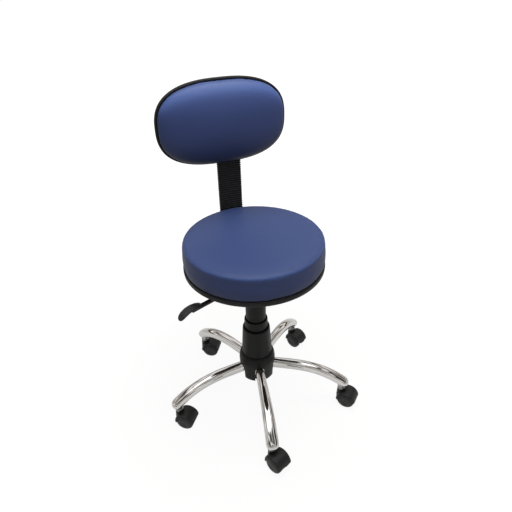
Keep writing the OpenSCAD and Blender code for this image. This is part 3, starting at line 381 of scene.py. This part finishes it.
# Blade clamp and hand knob: a black steel box under the plate, and a six-lobed black moulded knob whose
# screw presses on the blade to hold its depth.
dress(["blade_clamp"], satin_black)
dress(["clamp_knob"], moulded_black)

# Seat board: a plywood disc, stained dark, that the cushion is stapled to. The arms' chrome mirrors it
# as a dark patch near the hub.
stained_wood = varied_material(
    "stained plywood", (0.05, 0.035, 0.026), 0.6, tone_scale=9.0, grain_scale=300.0,
    rough=(0.5, 0.7), tint=((0.035, 0.025, 0.018), (0.07, 0.05, 0.036)), bump=0.2, depth=0.0006)
dress(["seat_board"], stained_wood)

# Seat trim: a black PVC channel pressed over the edge of the board and the hem of the vinyl. Its soft
# upper lip closes on the cushion's foot.
trim_low, trim_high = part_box("seat_trim")
trim_r = trim_high.x
trim_hem = 0.0165
trim_wall = 0.002
trim_lip_rise = 0.0024
trim_heel_in = 0.0022
trim_heel_rise = 0.0018
trim_shoulder = 0.0004
trim_straight = 0.0045
trim_brow_in = 0.0015
trim_brow_drop = 0.0014
trim_lip_in = 0.0032
trim_lip_drop = 0.0006
trim_side_wall = 0.0026
trim_steps = 160
trim_in = trim_r - trim_hem
trim_top = trim_high.z + trim_lip_rise
trim = bmesh.new()
trim_points = [(trim_in, trim_low.z), (trim_r - trim_heel_in, trim_low.z),
               (trim_r - trim_shoulder, trim_low.z + trim_heel_rise), (trim_r, trim_low.z + trim_straight),
               (trim_r, trim_top - trim_straight), (trim_r - trim_shoulder, trim_top - trim_brow_drop),
               (trim_r - trim_brow_in, trim_top), (trim_r - trim_lip_in, trim_top - trim_lip_drop),
               (trim_r - trim_side_wall, trim_low.z + trim_wall), (trim_in, trim_low.z + trim_wall)]
trim_verts = [trim.verts.new((r, 0.0, z)) for r, z in trim_points]
trim_edges = [trim.edges.new(pair) for pair in zip(trim_verts, trim_verts[1:] + trim_verts[:1])]
bmesh.ops.spin(trim, geom=trim_verts + trim_edges, cent=(0, 0, 0), axis=(0, 0, 1),
               angle=2 * math.pi, steps=trim_steps, use_merge=True)
face_outwards(trim)
soft_black = varied_material(
    "soft black edging", (0.009, 0.009, 0.01), 0.48, tone_scale=16.0, grain_scale=1300.0,
    rough=(0.4, 0.56), tint=((0.007, 0.007, 0.008), (0.013, 0.013, 0.013)), bump=0.12, depth=0.0002,
    sheen=0.3)
finish_mesh(trim, "seat_edging", soft_black, "seat", ["seat_trim"])

# Seat cushion: a round foam block under blue vinyl, drawn tight over the edge and stapled below. The vinyl
# is heat-formed, so it shows no seam, only a round edge, a low crown and a fine grain. Its blue carries
# painted light and shade: a painted highlight where it leans up, and painted shade, darker and greyer, down
# the sides, which the pad's "lean" attribute tells it.
blue_vinyl = varied_material(
    "blue vinyl", (0.04, 0.068, 0.19), 0.48, tone_scale=5.0, grain_scale=1100.0,
    rough=(0.44, 0.52), tint=((0.94, 0.95, 0.96), (1.0, 1.0, 1.0)), bump=0.14, depth=0.0004, sheen=0.4)
lean_low = -0.6
lean_high = 0.9
vinyl_tree = blue_vinyl.node_tree
vinyl_shader = vinyl_tree.nodes["Principled BSDF"]
vinyl_tone = vinyl_shader.inputs["Base Color"].links[0].from_node
vinyl_lean = add_node(vinyl_tree, "ShaderNodeAttribute", attribute_name="lean")
vinyl_range = add_node(vinyl_tree, "ShaderNodeMapRange", {"From Min": lean_low, "From Max": lean_high})
# Painted light and shade: this ramp paints the blue darkest where the vinyl faces down, darker down the
# sides, and brightest, as a painted highlight, where it leans halfway up.
vinyl_painted_light = add_node(vinyl_tree, "ShaderNodeValToRGB")
painted_light_stops = vinyl_painted_light.color_ramp.elements
painted_light_stops[0].color = (0.017, 0.025, 0.06, 1.0)
painted_light_stops[1].color = (0.037, 0.058, 0.152, 1.0)
for share, colour in ((0.38, (0.032, 0.051, 0.15)), (0.55, (0.042, 0.066, 0.187)),
                      (0.7, (0.058, 0.095, 0.25)), (0.9, (0.05, 0.082, 0.215))):
    stop = painted_light_stops.new(share)
    stop.color = (*colour, 1.0)
vinyl_shade = add_node(vinyl_tree, "ShaderNodeMix", {"Factor": 1.0}, data_type="RGBA", blend_type="MULTIPLY")
wire(vinyl_tree, (vinyl_lean, "Fac", vinyl_range, "Value"), (vinyl_range, "Result", vinyl_painted_light, "Fac"),
     (vinyl_painted_light, "Color", vinyl_shade, "A"), (vinyl_tone, "Result", vinyl_shade, "B"),
     (vinyl_shade, "Result", vinyl_shader, "Base Color"))
cushion_low, cushion_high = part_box("seat_cover")
cushion_r = cushion_high.x
crown = 0.0025
crown_r = 0.17
edge_r = 0.0055
edge_turns = (22, 45, 68)
base_rings = (0.0, 0.06, 0.12)
ring_shares = (0.0, 0.2, 0.4, 0.6, 0.8, 1.0)
cushion_steps = 120
cushion_merge = 0.0001
foot_tuck = 0.0022
foot_rise = 0.0015
side_draw = 0.0015
side_top = cushion_high.z - crown - edge_r
side_h = side_top - cushion_low.z - foot_rise
cushion = bmesh.new()
cushion_points = [(r, cushion_low.z) for r in (*base_rings, cushion_r - foot_tuck)]
cushion_points += [(cushion_r - side_draw * (2 * t - 1) ** 2, cushion_low.z + foot_rise + side_h * t)
                   for t in ring_shares]
for turn in edge_turns:
    a = math.radians(turn)
    cushion_points.append((cushion_r - side_draw - edge_r * (1 - math.cos(a)),
                           side_top + edge_r * math.sin(a)))
cushion_points += [(crown_r * t, cushion_high.z - crown * t * t) for t in reversed(ring_shares)]
cushion_verts = [cushion.verts.new((r, 0.0, z)) for r, z in cushion_points]
cushion_edges = [cushion.edges.new(pair) for pair in zip(cushion_verts, cushion_verts[1:])]
bmesh.ops.spin(cushion, geom=cushion_verts + cushion_edges, cent=(0, 0, 0), axis=(0, 0, 1),
               angle=2 * math.pi, steps=cushion_steps, use_merge=True)
bmesh.ops.remove_doubles(cushion, verts=cushion.verts[:], dist=cushion_merge)
face_outwards(cushion)
seat_pad = finish_mesh(cushion, "seat_pad", blue_vinyl, None, ["seat_cover", "seat_foam"])
swell_frames = 20


def apply_modifiers(piece):
    """Replaces a piece's mesh with the result of its modifiers."""
    graph = bpy.context.evaluated_depsgraph_get()
    result = bpy.data.meshes.new_from_object(piece.evaluated_get(graph))
    piece.modifiers.clear()
    old = piece.data
    piece.data = result
    bpy.data.meshes.remove(old)


def swell(piece, voxel, pressure, reach, held, rounds):
    """Remeshes a pad, lets cloth under pressure swell it and caps how far each point may move."""
    remesh = piece.modifiers.new("even", "REMESH")
    remesh.mode = "VOXEL"
    remesh.voxel_size = voxel
    apply_modifiers(piece)
    rest = [vert.co.copy() for vert in piece.data.vertices]
    pins = piece.vertex_groups.new(name="held")
    for vert in piece.data.vertices:
        if held(vert.co):
            pins.add([vert.index], 1.0, "REPLACE")
    cloth = piece.modifiers.new("cloth", "CLOTH")
    cloth.settings.quality = 6
    cloth.settings.mass = 0.3
    cloth.settings.tension_stiffness = 25
    cloth.settings.compression_stiffness = 25
    cloth.settings.bending_stiffness = 4
    cloth.settings.use_pressure = True
    cloth.settings.uniform_pressure_force = pressure
    cloth.settings.effector_weights.gravity = 0.0
    cloth.settings.vertex_group_mass = "held"
    cloth.point_cache.frame_start = 1
    cloth.point_cache.frame_end = swell_frames
    for step in range(1, swell_frames + 1):
        bpy.context.scene.frame_set(step)
    apply_modifiers(piece)
    bpy.context.scene.frame_set(1)
    for vert, start in zip(piece.data.vertices, rest):
        move = vert.co - start
        if move.length > reach:
            vert.co = start + move * (reach / move.length)
    shape = bmesh.new()
    shape.from_mesh(piece.data)
    for _ in range(rounds):
        bmesh.ops.smooth_vert(shape, verts=[v for v in shape.verts if not held(v.co)], factor=0.5,
                              use_axis_x=True, use_axis_y=True, use_axis_z=True)
    shape.to_mesh(piece.data)
    shape.free()
    for face in piece.data.polygons:
        face.use_smooth = True
    rounder = piece.modifiers.new("rounder", "SUBSURF")
    rounder.levels = 1
    rounder.render_levels = 1
    apply_modifiers(piece)
    # Each point's upward lean, which the blue vinyl reads for its painted light and shade.
    lean = piece.data.attributes.new("lean", "FLOAT", "POINT")
    for vert in piece.data.vertices:
        lean.data[vert.index].value = vert.normal.z


hem_h = 0.004
swell(seat_pad, voxel=0.005, pressure=4.0, reach=0.0015,
      held=lambda place: place.z < cushion_low.z + hem_h, rounds=4)
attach(seat_pad, "seat")

# Blade, ratchet carrier, spring pawl and screws: bent flat steel in black, a black moulded carrier
# that slides on it, a bare spring strip, and four small screws into the backrest's board.
dress(["back_blade"], satin_black)
dress(["ratchet_carrier"], moulded_black)
dress(["ratchet_pawl"], ground_steel)
dress(["back_screws"], zinc_plate)

# Bellows: a black PVC sleeve over the upright blade, with thirty-three flat ribs whose front crests are
# painted a lighter grey as a painted highlight. On the chair it shortens as the backrest comes down; here it
# is built at one length and rides on no body.
sleeve_low, sleeve_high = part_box("back_bellows")
sleeve_middle = (sleeve_low + sleeve_high) / 2
rib_count = 33
rib_pitch = (sleeve_high.z - sleeve_low.z) / rib_count
half_w = (sleeve_high.x - sleeve_low.x) / 2
half_d = (sleeve_high.y - sleeve_low.y) / 2
sleeve_power = 7.0
sleeve_points = 32
sleeve_wall = 0.0045
cuff_inset = 0.0023
crest_reach = 0.002
crest_from = 0.1
crest_to = 0.5
merge_reach = 0.00001


def sleeve_stage(inset, z):
    """The bellows' section drawn in by the inset, at height z."""
    return (Matrix.Translation((sleeve_middle.x, sleeve_middle.y, z))
            @ Matrix.Diagonal((half_w - inset, half_d - inset, 1.0, 1.0)))


rib_steps = ((0.0026, 0.06), (0.0006, 0.16), (0.0, 0.28), (0.0003, 0.44), (0.0026, 0.92))
rib_stages = [sleeve_stage(cuff_inset, sleeve_low.z)]
for rib in range(rib_count):
    base = sleeve_low.z + rib * rib_pitch
    rib_stages += [sleeve_stage(inset, base + share * rib_pitch) for inset, share in rib_steps]
rib_stages.append(sleeve_stage(cuff_inset, sleeve_high.z))
bellows = bmesh.new()
foot_loop = squared_loop(bellows, sleeve_power, sleeve_points, rib_stages[0])
head_loop = draw_out(bellows, foot_loop, rib_stages)
bore_stages = [rib_stages[-1], sleeve_stage(sleeve_wall, sleeve_high.z),
               sleeve_stage(sleeve_wall, sleeve_low.z), rib_stages[0]]
draw_out(bellows, head_loop, bore_stages)
bmesh.ops.remove_doubles(bellows, verts=bellows.verts[:], dist=merge_reach)
face_outwards(bellows)
ribbed_black = varied_material(
    "ribbed black PVC", (0.005, 0.005, 0.005), 0.45, tone_scale=24.0, grain_scale=1400.0,
    rough=(0.4, 0.5), tint=((0.004, 0.004, 0.004), (0.007, 0.007, 0.007)), bump=0.1, depth=0.0002,
    sheen=0.2)
painted_crest_highlight = varied_material(
    "painted highlight on rib crest", (0.042, 0.042, 0.043), 0.5, tone_scale=24.0, grain_scale=1400.0,
    rough=(0.42, 0.56), tint=((0.03, 0.03, 0.031), (0.054, 0.054, 0.055)), bump=0.1, depth=0.0002,
    sheen=0.4)
sleeve = finish_mesh(bellows, "bellows_sleeve", ribbed_black, None, ["back_bellows"])
# The second material is a painted highlight: the ribs' front crests are painted a lighter grey.
sleeve.data.materials.append(painted_crest_highlight)
for face in sleeve.data.polygons:
    rise = (face.center.z - sleeve_low.z) / rib_pitch % 1.0
    if crest_from < rise < crest_to and face.center.y < sleeve_middle.y - half_d + crest_reach:
        face.material_index = 1
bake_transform(sleeve)

# Backrest: a moulded inner board, a foam pad under the same blue vinyl that swells over the lip of a
# black edge channel, and a dished black rear shell. The whole is bent a little round the sitter.
edge_low, edge_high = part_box("back_trim")
back_x = (edge_low.x + edge_high.x) / 2
back_z = (edge_low.z + edge_high.z) / 2
back_half_w = (edge_high.x - edge_low.x) / 2
back_half_h = (edge_high.z - edge_low.z) / 2
blade_y = sleeve_middle.y
back_power = 2.62
back_wrap = 0.006


def back_stage(inset, share, depth):
    """The backrest's outline, drawn in by the inset and then by a share, at a depth from the blade."""
    return (Matrix.Translation((back_x, blade_y + depth, back_z)) @ Matrix.Rotation(math.radians(90), 4, "X")
            @ Matrix.Diagonal(((back_half_w - inset) * share, (back_half_h - inset) * share, 1.0, 1.0)))


def back_bend(x):
    """How far the backrest comes forward at a sideways place."""
    return back_wrap * ((x - back_x) / back_half_w) ** 2


def bend_back(shape):
    """Brings the backrest's ends forward of its middle."""
    for vert in shape.verts:
        vert.co.y -= back_bend(vert.co.x)


pad_rim = -0.0144
pad_rim_inset = 0.0066
pad_swell = -0.0172
pad_swell_inset = 0.0046
pad_face_inset = 0.0040
pad_depth = 0.0292
pad_crown = 0.008
pad_side_share = 0.62
pad_rise_share = 0.8
pad_turns = (6, 14, 24, 34, 44, 54, 64, 74, 83, 88)
pad_points = 96
pad = bmesh.new()
pad_stages = [back_stage(pad_rim_inset, 1.0, pad_rim), back_stage(pad_swell_inset, 1.0, pad_swell)]
for turn in pad_turns:
    a = math.radians(turn)
    share = math.cos(a) ** pad_side_share
    depth = pad_depth * math.sin(a) ** pad_rise_share + pad_crown * (1 - share ** 2)
    pad_stages.append(back_stage(pad_face_inset, share, pad_swell - depth))
rim_loop = squared_loop(pad, back_power, pad_points, pad_stages[0])
crown_loop = draw_out(pad, rim_loop, pad_stages)
fill_loop(pad, rim_loop)
fill_loop(pad, crown_loop)
face_outwards(pad)
bend_back(pad)
back_pad = finish_mesh(pad, "back_pad", blue_vinyl, None, ["back_cover", "back_foam"])
rim_held = 0.002
swell(back_pad, voxel=0.004, pressure=4.0, reach=0.002,
      held=lambda place: place.y > blade_y + pad_rim - back_bend(place.x) - rim_held, rounds=4)
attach(back_pad, "backrest")

edging_points = 128
# The edge channel's section, once round: how far in from the outline, and how deep from the blade.
edging_section = ((0.0060, -0.0163), (0.0026, -0.0165), (0.0010, -0.0155), (0.0, -0.0125),
                  (0.0, -0.0075), (0.0010, -0.0045), (0.0026, -0.0035), (0.0060, -0.0037),
                  (0.0060, -0.0163))
edging = bmesh.new()
edging_stages = [back_stage(inset, 1.0, depth) for inset, depth in edging_section]
edging_loop = squared_loop(edging, back_power, edging_points, edging_stages[0])
draw_out(edging, edging_loop, edging_stages)
bmesh.ops.remove_doubles(edging, verts=edging.verts[:], dist=merge_reach)
face_outwards(edging)
bend_back(edging)
finish_mesh(edging, "back_edging", soft_black, "backrest", ["back_trim"])
dress(["back_board", "back_shell"], moulded_black)

# The floor is a plain pale sheet. It looks white to the camera and light in reflections, and it keeps a
# faint shadow under the chair.
floor_size = 14.0
floor_shape = bmesh.new()
bmesh.ops.create_grid(floor_shape, x_segments=1, y_segments=1, size=floor_size)
floor_mesh = bpy.data.meshes.new("floor")
floor_shape.to_mesh(floor_mesh)
floor_shape.free()
floor = bpy.data.objects.new("floor", floor_mesh)
bpy.context.scene.collection.objects.link(floor)
pale_floor = bpy.data.materials.new("pale floor")
pale_floor.use_nodes = True
floor_tree = pale_floor.node_tree
floor_tree.nodes.remove(floor_tree.nodes["Principled BSDF"])
floor_paint = add_node(floor_tree, "ShaderNodeBsdfDiffuse", {"Color": (0.5, 0.49, 0.47, 1.0)})
floor_glow = add_node(floor_tree, "ShaderNodeEmission", {"Color": (1.0, 1.0, 1.0, 1.0), "Strength": 1.13})
floor_rays = add_node(floor_tree, "ShaderNodeLightPath")
floor_place = add_node(floor_tree, "ShaderNodeTexCoord")
floor_reach = add_node(floor_tree, "ShaderNodeVectorMath", operation="LENGTH")
floor_clear = add_node(floor_tree, "ShaderNodeMapRange",
                       {"From Min": 0.4, "From Max": 1.2, "To Min": 0.83, "To Max": 1.0})
floor_share = add_node(floor_tree, "ShaderNodeMath", operation="MULTIPLY")
shine_share = add_node(floor_tree, "ShaderNodeMath", {1: 0.4}, operation="MULTIPLY_ADD")
floor_mix = add_node(floor_tree, "ShaderNodeMixShader")
wire(floor_tree, (floor_place, "Object", floor_reach, 0), (floor_reach, "Value", floor_clear, "Value"),
     (floor_rays, "Is Camera Ray", floor_share, 0), (floor_clear, "Result", floor_share, 1),
     (floor_rays, "Is Glossy Ray", shine_share, 0), (floor_share, "Value", shine_share, 2),
     (shine_share, "Value", floor_mix, "Fac"), (floor_paint, "BSDF", floor_mix, 1),
     (floor_glow, "Emission", floor_mix, 2),
     (floor_mix, "Shader", floor_tree.nodes["Material Output"], "Surface"))
floor_mesh.materials.append(pale_floor)

# Light: one broad soft lamp over the chair, and weak ones at the front and, a little warm, at the right.
# Polished steel doesn't show them, because it mirrors the room that comes next.
lamp_aim = Vector((0.0, 0.0, 0.45))
for lamp_name, place, size, power, tint in (
        ("overhead lamp", (0.1, 0.0, 1.7), 0.9, 18.5, (1.0, 1.0, 1.0)),
        ("front lamp", (-0.3, -1.5, 1.8), 1.2, 8.0, (1.0, 1.0, 1.0)),
        ("side lamp", (2.0, -0.8, 1.2), 1.2, 2.4, (1.0, 0.66, 0.64))):
    lamp_data = bpy.data.lights.new(lamp_name, "AREA")
    lamp_data.shape = "DISK"
    lamp_data.size = size
    lamp_data.energy = power
    lamp_data.color = tint
    lamp = bpy.data.objects.new(lamp_name, lamp_data)
    bpy.context.scene.collection.objects.link(lamp)
    lamp.location = place
    lamp.visible_glossy = False
    lamp.rotation_euler = (lamp_aim - Vector(place)).to_track_quat("-Z", "Y").to_euler()

# The studio round the chair: white to the camera, a soft even grey for the light it gives, and to
# polished steel a room of bright walls with dark gaps between them.
world = bpy.data.worlds.new("studio")
bpy.context.scene.world = world
world.use_nodes = True
room = world.node_tree
soft_sky = room.nodes["Background"]
soft_sky.inputs["Color"].default_value = (0.95, 0.97, 1.0, 1.0)
soft_sky.inputs["Strength"].default_value = 0.12
white_back = add_node(room, "ShaderNodeBackground", {"Color": (1.0, 1.0, 1.0, 1.0), "Strength": 1.0})
room_back = add_node(room, "ShaderNodeBackground")
room_place = add_node(room, "ShaderNodeTexCoord")
room_parts = add_node(room, "ShaderNodeSeparateXYZ")
room_noise = add_node(room, "ShaderNodeTexNoise", {"Scale": 1.8, "Detail": 1.0})
room_sway = add_node(room, "ShaderNodeMath", {1: 0.5}, operation="SUBTRACT")
room_lean = add_node(room, "ShaderNodeMath", {1: 0.9}, operation="MULTIPLY_ADD")
room_walls = add_node(room, "ShaderNodeValToRGB")
wall_stops = room_walls.color_ramp.elements
wall_stops[0].color = (0.5, 0.47, 0.42, 1.0)
wall_stops[1].color = (1.6, 1.6, 1.6, 1.0)
for height, colour in ((0.05, (0.02, 0.02, 0.02)), (0.14, (0.05, 0.045, 0.04)), (0.2, (0.6, 0.56, 0.5)),
                       (0.3, (0.95, 0.93, 0.9)), (0.36, (0.36, 0.34, 0.32)), (0.48, (0.27, 0.25, 0.24)),
                       (0.52, (0.03, 0.03, 0.03)), (0.58, (0.05, 0.05, 0.05)), (0.62, (0.7, 0.67, 0.66)),
                       (0.72, (0.9, 0.87, 0.86)), (0.77, (0.07, 0.07, 0.07)), (0.82, (0.12, 0.12, 0.11)),
                       (0.86, (1.4, 1.4, 1.4))):
    stop = wall_stops.new(height)
    stop.color = (*colour, 1.0)
room_rays = add_node(room, "ShaderNodeLightPath")
shine_mix = add_node(room, "ShaderNodeMixShader")
room_mix = add_node(room, "ShaderNodeMixShader")
wire(room, (room_place, "Generated", room_parts, "Vector"), (room_place, "Generated", room_noise, "Vector"),
     (room_noise, "Fac", room_sway, 0), (room_sway, "Value", room_lean, 0), (room_parts, "Z", room_lean, 2),
     (room_lean, "Value", room_walls, "Fac"), (room_walls, "Color", room_back, "Color"),
     (room_rays, "Is Glossy Ray", shine_mix, "Fac"), (soft_sky, "Background", shine_mix, 1),
     (room_back, "Background", shine_mix, 2), (room_rays, "Is Camera Ray", room_mix, "Fac"),
     (shine_mix, "Shader", room_mix, 1), (white_back, "Background", room_mix, 2),
     (room_mix, "Shader", room.nodes["World Output"], "Surface"))
bpy.context.scene.view_settings.view_transform = "Standard"
